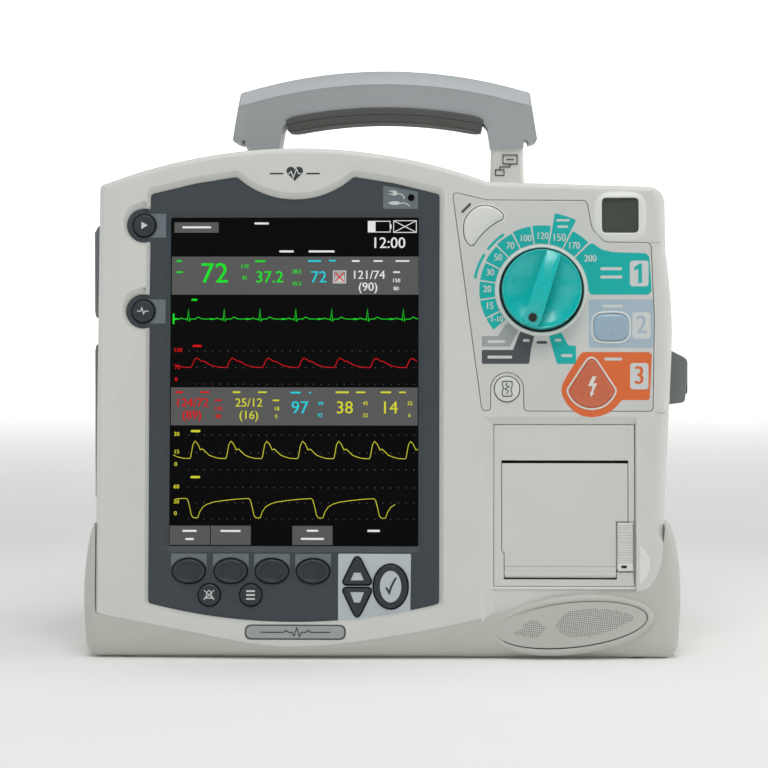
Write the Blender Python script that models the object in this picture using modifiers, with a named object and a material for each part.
"""Bedside monitor and defibrillator, at real size.

The case stands on four feet at z = 0 and faces -Y. Sizes below are in millimetres, and Blender gets metres.
Pieces on the front lie in the face frame: x to the right, y inwards through the front, z up along the front,
which leans back by LEAN. Case and face coordinates are measured from the middle of the case.
"""

import math

import bmesh
import bpy
from mathutils import Matrix, Vector

MM = 0.001
GAP = 0.3  # between touching pieces

# Case
CASE_SHIFT = -2.0  # the port on the right makes the object lopsided, so the case stands this far left
LEAN = 5.0  # degrees that the front leans back
FACE_FOOT = -101.0  # y where the front's plane meets the ground
SPLIT = -45.0  # y of the joint between front and rear housing
REAR = 103.9
HALF_WIDTH = 155.5
FACE_WALL = 6.0
SHELL = 3.0
ARCH_LEFT, ARCH_RIGHT, ARCH_RISE = (-146.7, 245.2), (54.4, 247.3), 18.6
HOUSING_RIGHT = [(145.2, 215), (147.6, 195), (149, 170), (147.4, 129), (145.5, 83), (145.7, 67.2)]
WAVE = [(145.7, 67.2), (144.1, 51.8), (140.5, 41.6), (132.8, 35.2), (109.8, 34.4), (79, 28.6),
        (40.6, 18.5), (-10.7, 9.4), (-41.5, 6.8), (-67.3, 8.2), (-118.9, 18), (-147.5, 23.5)]
DECK = 243.5  # z of the rear housing's top
BASE_UNDERSIDE = 1.5
FOOT_RADIUS = 9.5
BASE_RECESS = 0.8  # the cradle's front behind the front housing's
BASE_WALL = 4.6
WING_TOP = 70.5  # z of the cradle's side wings
REAR_SIDE = 146.0
REAR_BOTTOM = 6.5

# Display side of the front
DISPLAY_MIDDLE = -45.2
BEZEL_FRONT, BEZEL_BACK = 3.3, 6.3
WINDOW = (-113.1, 22.1, 54.9, 231.6)
SIDE_KEYS = {"event_button": (-123.6, 224.5), "lead_button": (-123.8, 179.8)}
SIDE_KEY_RADIUS = 5.7
SOFT_KEY_X = (-99.3, -77.6, -56.4, -35.1)
SOFT_KEY_Z = 45.5
SOFT_KEY_SIZE = (16.9, 12.3)
LOW_KEYS = {"alarm_button": (-88.6, 33.3), "info_button": (-67.2, 33.3)}
LOW_KEY_RADIUS = 5.6
KEY_PROUD = 1.7
KEY_DEPTH = 4.7
KEY_CLEARANCE = 0.35

# Control side of the front
KNOB = (82.5, 190.6)
KNOB_RADIUS = 21.3
KNOB_FRONT, KNOB_BACK = -9.0, -1.9
GRIP_FRONT = -18.0
GRIP_WIDTH = 12.5
REST_TURN = 18.0  # the grip points at the monitor position, clockwise from straight down
SHAFT_RADIUS = 3.0
OVERLAY_THICK = 1.2
STRIP_BUTTON = (64.7, 139.5)
STRIP_BUTTON_RADIUS = 6.4
INDICATOR = (113.6, 132.5, 220.2, 238.4)
CONTROL_PROUD = 1.6
CONTROL_DEPTH = 9.5

# Printer
POCKET_DEPTH = 3.0
PRINTER = (58.1, 130.2, 38.2, 121.2)
PRINTER_DEPTH = 52.0
DOOR = (62.2, 126.6, 42.3, 102.6)
DOOR_THICK = 3.0
PAPER_SLOT = 1.6
DOOR_PIVOT = (5.6, 45.0)  # face y and z of the hinge pin
PIN_RADIUS = 1.0
LATCH = (121.3, 129.5, 46.0, 70.9)
LATCH_TRAVEL = 4.0
ROLL_RADIUS, ROLL_BORE, ROLL_WIDTH = 19.5, 6.0, 50.0
ROLL_AT = (94.4, 29.5, 63.5)
PLATEN_RADIUS = 5.0
PLATEN_AT = (94.4, 12.0, 95.5)
SPEAKER = (97.9, 18.4)
SPEAKER_SIZE = (38.8, 11.5)
SPEAKER_TURN = 6.25

# Handle
HANDLE_FRONT, HANDLE_BACK = -27.0, 9.0
HANDLE_END, HANDLE_TOP = 82.2, 308.3
POST_X = (57.4, 74.4)

# Rear
BATTERY = (95.0, 42.0, 165.0)
BAY_BOTTOM = 42.0
BAY_GAP = 3.5
LEFT_PANEL = (-42.0, 58.0, 76.0, 224.0)
LEFT_PANEL_OUT = -154.5
SOCKET_Y = 8.0
# each socket's z, radius and bore
SOCKETS = {"ecg_socket": (196.0, 10.0, 6.6), "spo2_socket": (142.0, 9.0, 6.0), "nbp_port": (110.0, 7.5, 4.4)}
THERAPY = (-66.0, -28.0, 131.0, 158.5)
THERAPY_OUT = 159.6

WHITE = ("housing_white", (0.60, 0.61, 0.59), 0.42, 0.0)
PANEL_GREY = ("panel_grey", (0.30, 0.32, 0.33), 0.5, 0.0)
SLATE = ("bezel_slate", (0.055, 0.068, 0.078), 0.45, 0.0)
KEY_SLATE = ("key_slate", (0.042, 0.052, 0.06), 0.4, 0.0)
SELECT_GREY = ("select_grey", (0.36, 0.40, 0.42), 0.4, 0.0)
TEAL = ("knob_teal", (0.0, 0.47, 0.44), 0.32, 0.0)
CHARGE_BLUE = ("charge_blue", (0.32, 0.44, 0.55), 0.35, 0.0)
SHOCK_ORANGE = ("shock_orange", (0.72, 0.16, 0.05), 0.35, 0.0)
RUBBER = ("grip_rubber", (0.07, 0.07, 0.065), 0.75, 0.0)
HANDLE_GREY = ("handle_grey", (0.36, 0.38, 0.39), 0.42, 0.0)
GLASS = ("display_glass", (0.01, 0.012, 0.014), 0.08, 0.0)
BOARD = ("board_green", (0.02, 0.14, 0.06), 0.5, 0.0)
STEEL = ("sheet_steel", (0.55, 0.56, 0.57), 0.35, 1.0)
BLACK = ("black_plastic", (0.02, 0.02, 0.022), 0.5, 0.0)
PAPER = ("roll_paper", (0.8, 0.8, 0.77), 0.8, 0.0)


# Outlines: lists of (x, z) in millimetres

def ring(centre, radius, start=0.0, end=360.0, steps=20):
    """Points on a circle, from one angle to another. A whole circle leaves out its repeated end."""
    count = steps if abs(end - start) >= 360 else steps + 1
    angles = [math.radians(start + (end - start) * i / steps) for i in range(count)]
    return [(centre[0] + radius * math.cos(a), centre[1] + radius * math.sin(a)) for a in angles]


def bow(start, end, rise, steps=12):
    """An arc between two points whose middle stands `rise` to the left of the straight line."""
    (x0, z0), (x1, z1) = start, end
    half = math.hypot(x1 - x0, z1 - z0) / 2
    radius = (half * half + rise * rise) / (2 * abs(rise))
    along = ((x1 - x0) / (2 * half), (z1 - z0) / (2 * half))
    left = (-along[1], along[0])
    sweep = math.asin(min(1.0, half / radius))
    side = math.copysign(1, rise)
    points = []
    for i in range(steps + 1):
        angle = -sweep + 2 * sweep * i / steps
        forward = half + radius * math.sin(angle)
        up = side * (radius * math.cos(angle) - radius + abs(rise))
        points.append((x0 + along[0] * forward + left[0] * up, z0 + along[1] * forward + left[1] * up))
    return points


def flowing(knots, steps=2):
    """A smooth open curve through the knots."""
    padded = [knots[0]] + list(knots) + [knots[-1]]
    points = []
    for a, b, c, d in zip(padded, padded[1:], padded[2:], padded[3:]):
        for i in range(steps):
            t = i / steps
            points.append(tuple(
                b[k] + 0.5 * t * (c[k] - a[k] + t * (2 * a[k] - 5 * b[k] + 4 * c[k] - d[k]
                                                     + t * (3 * (b[k] - c[k]) + d[k] - a[k])))
                for k in (0, 1)))
    return points + [knots[-1]]


def rounded(corners, steps=3):
    """A closed outline from corners (x, z, radius)."""
    points = []
    for i, (x, z, radius) in enumerate(corners):
        corner = Vector((x, z))
        before = Vector(corners[i - 1][:2]) - corner
        after = Vector(corners[(i + 1) % len(corners)][:2]) - corner
        if radius <= 0:
            points.append((x, z))
            continue
        half = before.angle(after) / 2
        reach = min(radius / math.tan(half), 0.49 * before.length, 0.49 * after.length)
        start, end = corner + before.normalized() * reach, corner + after.normalized() * reach
        for step in range(steps + 1):
            t = step / steps
            points.append(tuple((1 - t) ** 2 * start + 2 * t * (1 - t) * corner + t * t * end))
    return points


def plain(points):
    """The same points as corners that stay sharp."""
    return [(x, z, 0) for x, z in points]


def box_outline(x0, x1, z0, z1, radius=0.0, steps=3):
    return rounded([(x0, z0, radius), (x1, z0, radius), (x1, z1, radius), (x0, z1, radius)], steps)


def oval(centre, half_width, half_height, turn=0.0, steps=24):
    c, s = math.cos(math.radians(turn)), math.sin(math.radians(turn))
    return [(centre[0] + half_width * x * c - half_height * z * s,
             centre[1] + half_width * x * s + half_height * z * c) for x, z in ring((0, 0), 1, steps=steps)]


def area(outline):
    pairs = zip(outline, outline[1:] + outline[:1])
    return sum(x0 * z1 - x1 * z0 for (x0, z0), (x1, z1) in pairs) / 2


def grown(outline, distance):
    """The outline moved outwards, or inwards where distance is negative."""
    side = math.copysign(1, area(outline))
    moved = []
    for i, point in enumerate(outline):
        here = Vector(point)
        into = (here - Vector(outline[i - 1])).normalized()
        out = (Vector(outline[(i + 1) % len(outline)]) - here).normalized()
        normal = Vector((into.y + out.y, -into.x - out.x)).normalized() * side
        lean = max(0.4, normal.dot(Vector((into.y, -into.x)) * side))
        moved.append(tuple(here + normal * distance / lean))
    return moved


def housing_outline():
    """The front housing's whole outline, with the wave where it meets the cradle."""
    top = plain(bow(ARCH_RIGHT, ARCH_LEFT, -ARCH_RISE, 16)[:-1])
    top += [(ARCH_LEFT[0], ARCH_LEFT[1] + 0.4, 7), (-147.4, 120, 0)]
    side = flowing(HOUSING_RIGHT[::-1])[1:-1]
    return rounded(plain(flowing(WAVE[::-1]) + side) + [(145.2, 244.3, 9)] + top)


def display_opening():
    """The opening round the display: a bump at the top for the emblem, two notches for the side keys."""
    left, right = DISPLAY_MIDDLE - 75.0, DISPLAY_MIDDLE + 75.0
    points = plain(bow((left, 29.0), (right, 29.0), -9.5, 14))
    points[0], points[-1] = (left, 29.0, 2), (right, 29.0, 2)
    points += [(right, 240.7, 2), (6.6, 246.4, 0)]
    points += plain(bow((-14.7, 249.9), (-75.5, 249.9), 11.8, 10))
    points += [(-97, 246.4, 0), (left, 240.8, 2)]
    for centre in SIDE_KEYS.values():
        points += plain(ring(centre, 8.9, 68, 292, 10))
    return rounded(points)


def bezel_outline(margin):
    """The bezel behind that opening: larger by the margin, and wider on the left for the side keys."""
    left, right = DISPLAY_MIDDLE - 75.0 - margin, DISPLAY_MIDDLE + 75.0 + margin
    low = [(x, z - margin, 0) for x, z in bow((left, 29.0), (right, 29.0), -9.5, 14)]
    top = [(right, 240.7, 2), (6.6, 246.4, 0), (-14.7, 249.9, 0), (-75.5, 249.9, 0), (-97, 246.4, 0),
           (left, 241.0, 1)]
    top = [(x, z + margin, radius) for x, z, radius in top]
    keys = [(left - 12.5, 236 + margin, 3), (left - 12.5, 166 - margin, 3), (left, 162 - margin, 1)]
    return rounded(low + top + keys)


def overlay_outline():
    """The flush control overlay, with an arched notch round the strip button."""
    points = [(36.6, 241.5, 2), (54.6, 237.3, 3), (105.8, 237.0, 3), (108.4, 222.5, 7), (115.0, 215.4, 5),
              (138.8, 215.2, 3), (140.4, 176.0, 0), (139.6, 128.3, 2), (73.6, 128.3, 2)]
    points += plain(ring(STRIP_BUTTON, 8.6, 0, 180, 10))
    return rounded(points + [(56.2, 128.6, 2), (51.9, 128.6, 2)])


def rear_outline():
    side = REAR_SIDE
    return rounded([(-side, REAR_BOTTOM, 8), (side, REAR_BOTTOM, 8), (side, 76, 0), (148.6, 80, 0),
                    (148.6, 200, 0), (144.6, 216, 0), (144.6, DECK, 12), (-side, DECK, 12)])


def base_outline():
    """The cradle seen from the front: a flat underside and bulging sides."""
    side = [(148.0, BASE_UNDERSIDE), (153.6, 5.5), (154.8, 14.0), (HALF_WIDTH, 32.0), (154.8, 48.0),
            (152.8, 62.0), (150.2, WING_TOP)]
    right = flowing(side)
    return right + [(-x, z) for x, z in reversed(right)]


def sync_outline():
    """A half moon that hugs the knob's ring."""
    return rounded([(46.6, 214.8, 2.5), (54.4, 223.0, 0), (62.4, 230.4, 2.5), (60.4, 233.4, 2),
                    (54.9, 234.8, 3), (48.6, 230.6, 4), (43.4, 223.4, 3), (43.4, 217.4, 2)], 4)


def shock_outline():
    """A fan with its point up and a round lower edge."""
    left, right = (95.0, 138.6), (121.2, 138.6)
    low = plain(bow(left, right, -9.4, 10))
    low[0], low[-1] = (*left, 2.5), (*right, 2.5)
    return rounded(low + [(108.2, 157.6, 3.5)], 4)


def arrow_outline(tip, base_z):
    """A triangle with rounded corners; the tip may point up or down."""
    return rounded([(tip[0] - 7.9, base_z, 1.8), (tip[0] + 7.9, base_z, 1.8), (*tip, 2.2)])


def handle_outline():
    """The handle's arch seen from the front, without the rubber grip under it."""
    crest = bow((78.6, 296.6), (-78.6, 296.6), -(HANDLE_TOP - 296.6), 16)
    outer = [(x, z, 2 if abs(x) > 78 else 0) for x, z in crest]
    under = plain(bow((-51.5, 281.6), (51.5, 281.6), 6.2, 12))
    left_leg = [(-HANDLE_END, 270.0, 3), (-74.6, 266.3, 1.5), (-57.2, 266.3, 1.5), (-55.6, 274.0, 1)]
    right_leg = [(-x, z, radius) for x, z, radius in reversed(left_leg)]
    return rounded([right_leg[-1], *outer, *left_leg, *under, *right_leg[:-1]])


def grip_outline():
    """A long band under the handle's arch, with round ends."""
    top = bow((50.8, 281.2), (-50.8, 281.2), -6.2, 12)
    low = bow((-49.6, 274.6), (49.6, 274.6), 4.4, 12)
    return top + [(-53.4, 278.6)] + low + [(53.4, 278.6)]


# Solids

def collection(name):
    made = bpy.data.collections.new(name)
    bpy.context.scene.collection.children.link(made)
    return made


def paint(obj, finish):
    """A Principled material, made once for each finish."""
    name, colour, roughness, metallic = finish
    material = bpy.data.materials.get(name)
    if material is None:
        material = bpy.data.materials.new(name)
        material.use_nodes = True
        shader = material.node_tree.nodes["Principled BSDF"]
        shader.inputs["Base Color"].default_value = (*colour, 1.0)
        shader.inputs["Roughness"].default_value = roughness
        shader.inputs["Metallic"].default_value = metallic
        material.diffuse_color = (*colour, 1.0)
    obj.data.materials.append(material)
    return obj


def wrap(name, bm, group, parent, at=(0, 0, 0)):
    """Makes an object of a bmesh built in millimetres about `at`, which is where the object's origin goes."""
    bmesh.ops.recalc_face_normals(bm, faces=bm.faces)
    bmesh.ops.scale(bm, vec=(MM, MM, MM), verts=bm.verts)
    mesh = bpy.data.meshes.new(name)
    bm.to_mesh(mesh)
    bm.free()
    obj = bpy.data.objects.new(name, mesh)
    group.objects.link(obj)
    obj.parent = parent
    obj.location = Vector(at) * MM
    return obj


def slab(name, outline, near, far, group, parent, at=(0, 0, 0), soften=0.0):
    """An outline extruded from y = near to y = far, about the point `at`."""
    bm = bmesh.new()
    verts = [bm.verts.new((x - at[0], near - at[1], z - at[2])) for x, z in outline]
    face = bm.faces.new(verts)
    pushed = bmesh.ops.extrude_face_region(bm, geom=[face])
    moved = [v for v in pushed["geom"] if isinstance(v, bmesh.types.BMVert)]
    bmesh.ops.translate(bm, vec=(0, far - near, 0), verts=moved)
    obj = wrap(name, bm, group, parent, at)
    if soften:
        soft_edges(obj, soften)
    return obj


def leaning_slab(name, outline, depth, back, group, parent, soften=0.0):
    """An outline in the face frame, extruded straight back from `depth` behind the front to y = back."""
    lean = math.radians(LEAN)
    bm = bmesh.new()
    verts = []
    for x, z in outline:
        y = FACE_FOOT + z * math.sin(lean) + depth / math.cos(lean)
        verts.append(bm.verts.new((x, y, z * math.cos(lean))))
    pushed = bmesh.ops.extrude_face_region(bm, geom=[bm.faces.new(verts)])
    for vert in pushed["geom"]:
        if isinstance(vert, bmesh.types.BMVert):
            vert.co.y = back
    obj = wrap(name, bm, group, parent)
    if soften:
        soft_edges(obj, soften)
    return obj


def drum(name, centre, radius, length, along, group, parent, bore=0.0, steps=32):
    """A cylinder, or a tube where it has a bore, with its middle at `centre` and its axis along X, Y or Z."""
    turn = {"X": Matrix.Rotation(math.pi / 2, 3, "Y"), "Y": Matrix.Rotation(math.pi / 2, 3, "X"),
            "Z": Matrix.Identity(3)}[along]
    bm = bmesh.new()
    bmesh.ops.create_cone(bm, cap_ends=True, segments=steps, radius1=radius, radius2=radius, depth=length)
    bmesh.ops.rotate(bm, matrix=turn, verts=bm.verts)
    obj = wrap(name, bm, group, parent, centre)
    if bore:
        cut(obj, drum(name + "_bore", centre, bore, length + 2, along, CUTTERS, parent, steps=steps))
    return obj


def block(name, low, high, group, parent, soften=0.0):
    """A box between two corners, with its origin in its middle."""
    middle = tuple((a + b) / 2 for a, b in zip(low, high))
    bm = bmesh.new()
    bmesh.ops.create_cube(bm, size=1.0)
    bmesh.ops.scale(bm, vec=tuple(b - a for a, b in zip(low, high)), verts=bm.verts)
    obj = wrap(name, bm, group, parent, middle)
    if soften:
        soft_edges(obj, soften)
    return obj


def soft_edges(obj, width, segments=1):
    bevel = obj.modifiers.new("soft_edges", "BEVEL")
    bevel.width = width * MM
    bevel.segments = segments
    bevel.limit_method = "ANGLE"
    bevel.angle_limit = math.radians(50)


def combine(obj, tool, operation):
    tool.hide_render = True
    tool.display_type = "WIRE"
    boolean = obj.modifiers.new(operation.lower() + "_" + tool.name, "BOOLEAN")
    boolean.operation = operation
    boolean.object = tool
    return obj


def cut(obj, *tools):
    for tool in tools:
        combine(obj, tool, "DIFFERENCE")
    return obj


def join(obj, *tools):
    for tool in tools:
        combine(obj, tool, "UNION")
    return obj


def face_slab(name, outline, near, far, soften=0.0, at=(0, 0, 0)):
    return slab(name, outline, near, far, PARTS, FACE, at, soften)


def face_cutter(name, outline, near, far):
    return slab(name, outline, near, far, CUTTERS, FACE)


# Case

def make_front_housing():
    """The front shell: thick front wall, thin sides, open at the back."""
    outline = housing_outline()
    housing = leaning_slab("front_housing", outline, 0.0, SPLIT, PARTS, CASE, soften=2.4)
    inside = grown(outline, -SHELL)
    hollow = leaning_slab("front_hollow", inside, FACE_WALL + 0.6, SPLIT - SHELL, CUTTERS, CASE)
    back = slab("front_back", grown(rear_outline(), -SHELL), SPLIT - SHELL - 0.5, SPLIT + 20, CUTTERS, CASE)
    pocket = face_cutter("bezel_pocket", bezel_outline(4.2), SHELL, FACE_WALL + 1)
    window = face_cutter("display_hole", display_opening(), -5, SHELL + 1)
    recess = face_cutter("overlay_recess", grown(overlay_outline(), GAP), -5, OVERLAY_THICK + GAP)
    printer = face_cutter("printer_pocket", box_outline(57.8, 130.6, 10, 121.6), -5, POCKET_DEPTH)
    x0, x1, z0, z1 = PRINTER
    around = box_outline(x0 - GAP, x1 + GAP, z0 - GAP, z1 + GAP)
    passage = face_cutter("printer_hole", around, -5, PRINTER_DEPTH + 10)
    indicator = face_cutter("indicator_hole", box_outline(*INDICATOR, 1.5), -5, 1.6)
    cut(housing, hollow, back, pocket, window, recess, printer, passage, indicator, *CONTROL_HOLES)
    return paint(housing, WHITE)


def make_base_shell():
    """The cradle that wraps the case's foot: the wave in front, wings at the sides, a seat for the speaker."""
    base = leaning_slab("base_shell", base_outline(), BASE_RECESS, REAR - 1, PARTS, CASE, soften=5.0)
    front_room = leaning_slab("front_room", grown(housing_outline(), GAP), -20, SPLIT + 0.2, CUTTERS, CASE)
    rear_room = block("rear_room", (-REAR_SIDE - GAP, SPLIT - 0.1, REAR_BOTTOM - GAP),
                      (REAR_SIDE + GAP, REAR + 10, 90), CUTTERS, CASE)
    half_width, half_height = SPEAKER_SIZE
    seat = oval(SPEAKER, half_width + 0.4, half_height + 0.4, SPEAKER_TURN)
    grille = face_cutter("grille_seat", seat, -6, 3.4)
    sound_hole = oval(SPEAKER, half_width - 4, half_height - 3, SPEAKER_TURN)
    throat = face_cutter("speaker_throat", sound_hole, 0, 20)
    low, high = BASE_UNDERSIDE + BASE_WALL, WING_TOP - BASE_WALL
    inside = rounded([(-150.0, low, 8), (150.0, low, 8), (147.2, high, 1), (-147.2, high, 1)])
    hollow = leaning_slab("base_hollow", inside, BASE_RECESS + BASE_WALL, REAR - 1 - BASE_WALL, CUTTERS, CASE)
    cut(base, front_room, rear_room, hollow, grille, throat)
    for x, y in FEET:
        cut(base, drum("foot_seat", (x, y, 1.0), FOOT_RADIUS + GAP, 6.6, "Z", CUTTERS, CASE, steps=20))
    return paint(base, WHITE)


def make_rear_housing():
    """The rear shell: open in front, with two bays at the back for the power packs."""
    side, outline = REAR_SIDE, rear_outline()
    housing = slab("rear_housing", outline, SPLIT + GAP, REAR, PARTS, CASE, soften=2.0)
    hollow = slab("rear_hollow", grown(outline, -SHELL), SPLIT - 10, BAY_FRONT - SHELL, CUTTERS, CASE)
    cut(housing, hollow)
    for sign in (-1, 1):
        inner, outer = BAY_GAP + BATTERY[0] + SHELL + GAP, side - SHELL
        span = sorted((sign * inner, sign * outer))
        low, high = (span[0], BAY_FRONT - SHELL - 5, 12), (span[1], REAR - SHELL, DECK - 6)
        cut(housing, block("side_void", low, high, CUTTERS, CASE))
        span = sorted((sign * (BAY_GAP - GAP), sign * (BAY_GAP + BATTERY[0] + GAP)))
        low = (span[0], BAY_FRONT, BAY_BOTTOM - GAP)
        high = (span[1], REAR + 10, BAY_BOTTOM + BATTERY[2] + GAP)
        cut(housing, block("bay", low, high, CUTTERS, CASE))
    return paint(housing, WHITE)


def make_feet():
    for number, (x, y) in enumerate(FEET, 1):
        foot = drum(f"foot_{number}", (x, y, 2.0), FOOT_RADIUS, 4.0, "Z", PARTS, CASE, steps=20)
        soft_edges(foot, 0.8)
        paint(foot, RUBBER)


def make_handle():
    handle = slab("handle", handle_outline(), HANDLE_FRONT, HANDLE_BACK, PARTS, CASE, soften=3.5)
    paint(handle, HANDLE_GREY)
    grip = slab("handle_grip", grip_outline(), HANDLE_FRONT + 2.5, HANDLE_BACK - 2.5, PARTS, CASE, soften=1.5)
    paint(grip, RUBBER)
    for side, sign in (("left", -1), ("right", 1)):
        x0, x1 = sorted(sign * x for x in POST_X)
        low, high = (x0, HANDLE_FRONT + 5, DECK + GAP), (x1, HANDLE_BACK - 3, 266.0)
        paint(block(f"handle_post_{side}", low, high, PARTS, CASE, soften=2.0), WHITE)


# Display side

def make_key(name, outline, front, depth, finish, hosts, soften=0.6):
    """A key cap that stands proud of its host and slides in through a hole in each host."""
    middle = [sum(p[k] for p in outline) / len(outline) for k in (0, 1)]
    key = face_slab(name, outline, front, depth, soften, at=(middle[0], front, middle[1]))
    if hosts:
        hole = face_cutter(name + "_hole", grown(outline, KEY_CLEARANCE), -10, 30)
        for host in hosts:
            cut(host, hole)
    return paint(key, finish)


def make_display_side():
    bezel = face_slab("display_bezel", bezel_outline(3.6), BEZEL_FRONT, BEZEL_BACK)
    x0, x1, z0, z1 = WINDOW
    cut(bezel, face_cutter("window_hole", box_outline(x0 - GAP, x1 + GAP, z0 - GAP, z1 + GAP, 1.5), -5, 30))
    paint(bezel, SLATE)
    paint(face_slab("display_window", box_outline(*WINDOW, 1.2), 4.3, 5.9), GLASS)
    paint(face_slab("display_module", box_outline(x0 + 1, x1 - 1, z0 + 2, z1 - 1, 1), 6.6, 16.0), BLACK)
    low = plain(bow((-22.2, 21.4), (15.0, 26.8), -0.4, 4))
    plate_outline = rounded([(-22.2, 54.2, 0.8)] + low + [(15.4, 54.2, 0.8)])
    plate = face_slab("select_plate", plate_outline, 2.4, BEZEL_FRONT - GAP)
    paint(plate, SELECT_GREY)
    front, back = BEZEL_FRONT - KEY_PROUD, BEZEL_FRONT + KEY_DEPTH
    for name, centre in SIDE_KEYS.items():
        make_key(name, ring(centre, SIDE_KEY_RADIUS), front, back, KEY_SLATE, [bezel])
    for name, centre in LOW_KEYS.items():
        make_key(name, ring(centre, LOW_KEY_RADIUS), front, back, KEY_SLATE, [bezel])
    for number, x in enumerate(SOFT_KEY_X, 1):
        outline = oval((x, SOFT_KEY_Z), SOFT_KEY_SIZE[0] / 2, SOFT_KEY_SIZE[1] / 2, steps=20)
        make_key(f"soft_key_{number}", outline, front, back, KEY_SLATE, [bezel])
    hosts = [bezel, plate]
    make_key("up_button", arrow_outline((-12.3, 54.0), 38.7), front - 0.3, back, SLATE, hosts)
    make_key("down_button", arrow_outline((-12.3, 22.2), 36.9), front - 0.3, back, SLATE, hosts)
    make_key("select_button", oval((4.9, 37.8), 8.7, 11.1), front - 0.3, back, SLATE, hosts)
    board = rounded([(-131, 30.5, 1), (16, 30.5, 1), (16, 52, 1), (-116.5, 52, 1), (-116.5, 234, 1),
                     (-131, 234, 1)])
    paint(face_slab("keypad_board", board, 10.0, 11.6), BOARD)
    plate = face_slab("name_plate", box_outline(-69.6, -18.2, 10.9, 17.9, 3.4), -0.9, -GAP, soften=0.25)
    paint(plate, PANEL_GREY)


# Control side

def make_control_side():
    """The overlay, its keys and what stands behind it. The strip key stands in the overlay's notch."""
    overlay = face_slab("control_overlay", overlay_outline(), 0.0, OVERLAY_THICK)
    cut(overlay, *[hole for hole in CONTROL_HOLES if hole.name != "strip_button_hole"])
    paint(overlay, WHITE)
    for name, (outline, finish) in CONTROL_KEYS.items():
        make_key(name, outline, -CONTROL_PROUD, CONTROL_DEPTH, finish, [])
    x0, x1, z0, z1 = INDICATOR
    lens = box_outline(x0 + GAP, x1 - GAP, z0 + GAP, z1 - GAP, 1.2)
    paint(face_slab("status_indicator", lens, 0.1, 1.3), GLASS)
    board = face_slab("control_board", box_outline(44, 138, 128, 236, 2), 12.3, 13.9)
    x, z = KNOB
    cut(board, drum("shaft_hole_board", (x, 13, z), 5.0, 12, "Y", CUTTERS, FACE))
    paint(board, BOARD)
    switch = face_slab("rotary_switch", box_outline(x - 13, x + 13, z - 13, z + 13, 2), 6.9, 12.0)
    cut(switch, drum("switch_bore", (x, 9, z), SHAFT_RADIUS + 0.06, 12, "Y", CUTTERS, FACE, steps=24))
    paint(switch, BLACK)


def make_knob():
    """The energy selector: a round skirt with a raised grip bar, on a shaft into the rotary switch."""
    x, z = KNOB
    seat = drum("knob_ring", (x, -0.85, z), 23.4, 1.1, "Y", PARTS, FACE, bore=SHAFT_RADIUS + 0.5, steps=48)
    paint(seat, WHITE)
    middle, height = (KNOB_FRONT + KNOB_BACK) / 2, KNOB_BACK - KNOB_FRONT
    knob = drum("energy_knob", (x, middle, z), KNOB_RADIUS, height, "Y", PARTS, FACE, steps=48)
    soft_edges(knob, 1.2)
    grip = rounded([(-GRIP_WIDTH / 2, -KNOB_RADIUS + 2, 3), (GRIP_WIDTH / 2, -KNOB_RADIUS + 2, 3),
                    (GRIP_WIDTH / 2 - 1.5, KNOB_RADIUS - 2, 3), (-GRIP_WIDTH / 2 + 1.5, KNOB_RADIUS - 2, 3)])
    turn = math.radians(-REST_TURN)
    turned = [(x + gx * math.cos(turn) - gz * math.sin(turn), z + gx * math.sin(turn) + gz * math.cos(turn))
              for gx, gz in grip]
    join(knob, slab("knob_grip", turned, GRIP_FRONT, KNOB_FRONT + 2, CUTTERS, FACE, soften=1.5))
    socket = drum("knob_socket", (x, KNOB_BACK - 1, z), SHAFT_RADIUS + 0.06, 12, "Y", CUTTERS, FACE, steps=24)
    cut(knob, socket)
    paint(knob, TEAL)
    paint(drum("knob_shaft", (x, 4.25, z), SHAFT_RADIUS, 21.5, "Y", PARTS, FACE, steps=24), STEEL)


# Printer and speaker

def make_printer():
    x0, x1, z0, z1 = PRINTER
    dx0, dx1, dz0, dz1 = DOOR
    y, z = DOOR_PIVOT
    frame = face_slab("printer_frame", box_outline(x0, x1, z0, z1), POCKET_DEPTH, PRINTER_DEPTH)
    left, right, foot = dx0 - GAP, dx1 + GAP, 41.0
    opening = face_cutter("door_opening", box_outline(left, right, foot, dz1 + PAPER_SLOT), 0, 20)
    behind_door = POCKET_DEPTH + DOOR_THICK + 0.6
    room = face_cutter("paper_room", box_outline(left, right, foot, z1 - 3), behind_door, PRINTER_DEPTH - 2)
    relief = face_cutter("latch_relief", box_outline(LATCH[0] - 0.4, x1 + 1, foot, 76), 0, POCKET_DEPTH + 0.1)
    middle, pin_length = (dx0 + dx1) / 2, dx1 - dx0 + 3.0
    pin_room = PIN_RADIUS + 0.05
    holes = drum("pin_holes", (middle, y, z), pin_room, pin_length + 0.8, "X", CUTTERS, FACE, steps=12)
    paint(cut(frame, opening, room, relief, holes), WHITE)
    paint(drum("door_hinge_pin", (middle, y, z), PIN_RADIUS, pin_length, "X", PARTS, FACE, steps=12), STEEL)
    make_door(middle)
    low = (middle - 26, 8.0, PLATEN_AT[2] + PLATEN_RADIUS + GAP)
    paint(block("print_head", low, (middle + 26, 27.0, low[2] + 2.2), PARTS, FACE), BLACK)
    roll = drum("paper_roll", ROLL_AT, ROLL_RADIUS, ROLL_WIDTH, "X", PARTS, FACE, bore=ROLL_BORE, steps=40)
    paint(roll, PAPER)


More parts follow.
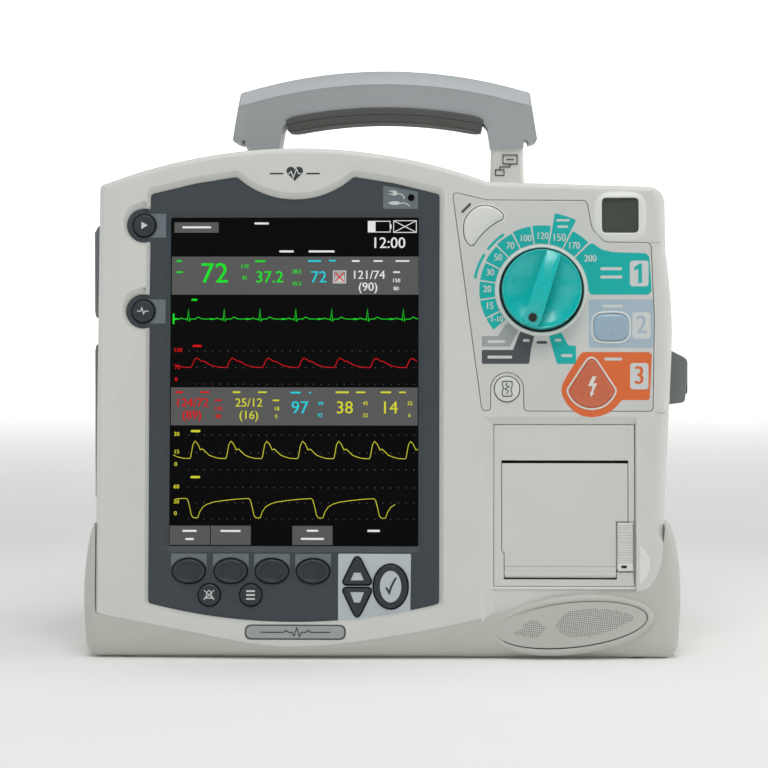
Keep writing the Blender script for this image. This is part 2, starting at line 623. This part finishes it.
def make_door(middle):
    """The printer's door: a plate that turns on the pin at its foot, with two ears for the platen roller."""
    dx0, dx1, dz0, dz1 = DOOR
    y, z = DOOR_PIVOT
    front, back = POCKET_DEPTH, POCKET_DEPTH + DOOR_THICK
    door = face_slab("printer_door", box_outline(dx0, dx1, dz0, dz1), front, back, at=(middle, y, z))
    join(door, drum("door_knuckle", (middle, y, z), 2.6, dx1 - dx0 - 0.02, "X", CUTTERS, FACE, steps=20))
    px, py, pz = PLATEN_AT
    for x in (px - ROLL_WIDTH / 2 - 4, px + ROLL_WIDTH / 2 + 2):
        join(door, block("door_ear", (x, back - 1, pz - 4), (x + 2, py + 4, pz + 4), CUTTERS, FACE))
    cut(door, drum("door_bore", (middle, y, z), PIN_RADIUS + 0.05, 90, "X", CUTTERS, FACE, steps=12))
    cut(door, drum("ear_holes", PLATEN_AT, 2.05, 90, "X", CUTTERS, FACE, steps=16))
    x0, x1, z0, z1 = LATCH
    pocket = box_outline(x0 - GAP, x1 + 5, z0 - GAP, z1 + LATCH_TRAVEL + GAP)
    sx0, sx1, sz0, sz1 = x0 + 1.2, x0 + 4.2, z0 + 5, z0 + 13
    slot = box_outline(sx0 - GAP, sx1 + GAP, sz0 - GAP, sz1 + LATCH_TRAVEL + GAP)
    cut(door, face_cutter("latch_pocket", pocket, 0, front + 1.0))
    cut(door, face_cutter("latch_slot", slot, 0, back + 5))
    paint(door, WHITE)
    grab = box_outline(x0, x1, z0, z1, 0.6)
    latch = face_slab("door_latch", grab, front - 1.5, front, at=((x0 + x1) / 2, front, (z0 + z1) / 2))
    join(latch, slab("latch_stem", box_outline(sx0, sx1, sz0, sz1), front - 1.0, back + 2, CUTTERS, FACE))
    paint(latch, WHITE)
    platen = drum("platen_roller", PLATEN_AT, PLATEN_RADIUS, ROLL_WIDTH, "X", PARTS, FACE, steps=32)
    join(platen, drum("platen_shaft", PLATEN_AT, 2.0, ROLL_WIDTH + 9, "X", CUTTERS, FACE, steps=16))
    paint(platen, RUBBER)


def make_speaker():
    grille = face_slab("speaker_grille", oval(SPEAKER, *SPEAKER_SIZE, SPEAKER_TURN, 40), 1.1, 3.0, soften=0.4)
    paint(grille, WHITE)
    paint(face_slab("speaker", oval(SPEAKER, 31, 7.5, SPEAKER_TURN, 32), 3.9, 18.0), BLACK)


# Sides, back and inside

def make_left_panel():
    """The port panel on the left, waisted in the middle, with its sockets."""
    y0, y1, z0, z1 = LEFT_PANEL
    inner = -REAR_SIDE - GAP
    panel = block("left_port_panel", (LEFT_PANEL_OUT, y0, z0), (inner, y1, z1), PARTS, CASE, soften=3.0)
    waist = block("panel_waist", (LEFT_PANEL_OUT - 5, y0 - 5, 159.5), (-150.0, y1 + 5, 176.5), CUTTERS, CASE)
    paint(cut(panel, waist), PANEL_GREY)
    y, middle = SOCKET_Y, (LEFT_PANEL_OUT + inner) / 2
    for name, (z, radius, bore) in SOCKETS.items():
        cut(panel, drum(name + "_seat", (middle, y, z), radius + GAP, 20, "X", CUTTERS, CASE, steps=32))
        socket = drum(name, (middle, y, z), radius, inner - LEFT_PANEL_OUT - 0.2, "X", PARTS, CASE, steps=32)
        mouth = drum(name + "_mouth", (LEFT_PANEL_OUT - 4, y, z), bore, 20.4, "X", CUTTERS, CASE, steps=24)
        cut(socket, mouth)
        paint(socket, SELECT_GREY if name != "nbp_port" else STEEL)


def make_therapy_port():
    y0, y1, z0, z1 = THERAPY
    outline = rounded([(148.9, z0 - 1.5, 1), (THERAPY_OUT - 1.2, z0, 2.5), (THERAPY_OUT - 0.3, z0 + 14, 0),
                       (THERAPY_OUT, z1 - 6, 5), (148.9, z1, 2)])
    port = slab("therapy_port", outline, y0, y1, PARTS, CASE, soften=1.6)
    mouth = block("therapy_mouth", (152.0, y0 + 5, z0 + 5), (170, y1 - 5, z1 - 7), CUTTERS, CASE)
    paint(cut(port, mouth), PANEL_GREY)


def make_power_packs():
    """A battery in the bay on the left, and the mains module in the other."""
    width, top = BATTERY[0], BAY_BOTTOM + BATTERY[2]
    for name, sign in (("battery_pack", -1), ("ac_power_module", 1)):
        x0, x1 = sorted((sign * BAY_GAP, sign * (BAY_GAP + width)))
        pack = block(name, (x0, BAY_FRONT + GAP, BAY_BOTTOM), (x1, REAR - 0.5, top), PARTS, CASE, soften=1.5)
        low, high = (x0 + 25, REAR - 8, top - 22), (x1 - 25, REAR + 5, top - 8)
        cut(pack, block(name + "_grab", low, high, CUTTERS, CASE))
        if sign > 0:
            low, high = (x1 - 42, REAR - 18, BAY_BOTTOM + 14), (x1 - 15, REAR + 5, BAY_BOTTOM + 34)
            cut(pack, block("inlet_mouth", low, high, CUTTERS, CASE))
        paint(pack, BLACK)


def make_insides():
    chassis = block("chassis", (-139, -28.0, 16), (139, -26.4, 234), PARTS, CASE)
    paint(chassis, STEEL)
    paint(block("main_board", (-130, -26.0, 30), (38, -24.4, 230), PARTS, CASE), BOARD)
    paint(block("power_board", (44, -26.0, 24), (138, -24.4, 118), PARTS, CASE), BOARD)
    paint(drum("storage_capacitor", (92, 0.4, 160), 26, 84, "X", PARTS, CASE, steps=32), BLACK)


for old in list(bpy.data.objects):
    bpy.data.objects.remove(old)

PARTS = collection("defibrillator")
CUTTERS = collection("cutters")
BAY_FRONT = REAR - 0.5 - BATTERY[1]
FEET = [(x, y) for y in (-80.0, 84.0) for x in (-132.0, 132.0)]

CASE = bpy.data.objects.new("case_frame", None)
CASE.location = (CASE_SHIFT * MM, 0, 0)
FACE = bpy.data.objects.new("face_frame", None)
FACE.parent = CASE
FACE.location = (0, FACE_FOOT * MM, 0)
FACE.rotation_euler = (math.radians(-LEAN), 0, 0)
for empty in (CASE, FACE):
    PARTS.objects.link(empty)

CONTROL_KEYS = {
    "sync_button": (sync_outline(), WHITE),
    "charge_button": (oval((118.2, 171.4), 8.8, 6.9), CHARGE_BLUE),
    "shock_button": (shock_outline(), SHOCK_ORANGE),
    "strip_button": (ring(STRIP_BUTTON, STRIP_BUTTON_RADIUS), WHITE),
}
CONTROL_HOLES = [face_cutter("shaft_hole", ring(KNOB, SHAFT_RADIUS + 0.5), -10, 30)]
for key_name, (key_outline, _) in CONTROL_KEYS.items():
    CONTROL_HOLES.append(face_cutter(key_name + "_hole", grown(key_outline, KEY_CLEARANCE), -10, 30))

make_front_housing()
make_base_shell()
make_rear_housing()
make_feet()
make_handle()
make_display_side()
make_control_side()
make_knob()
make_printer()
make_speaker()
make_left_panel()
make_therapy_port()
make_power_packs()
make_insides()

for part in PARTS.objects:
    if part.type == "MESH":
        part.data.shade_smooth()
        part.data.set_sharp_from_angle(angle=math.radians(30))
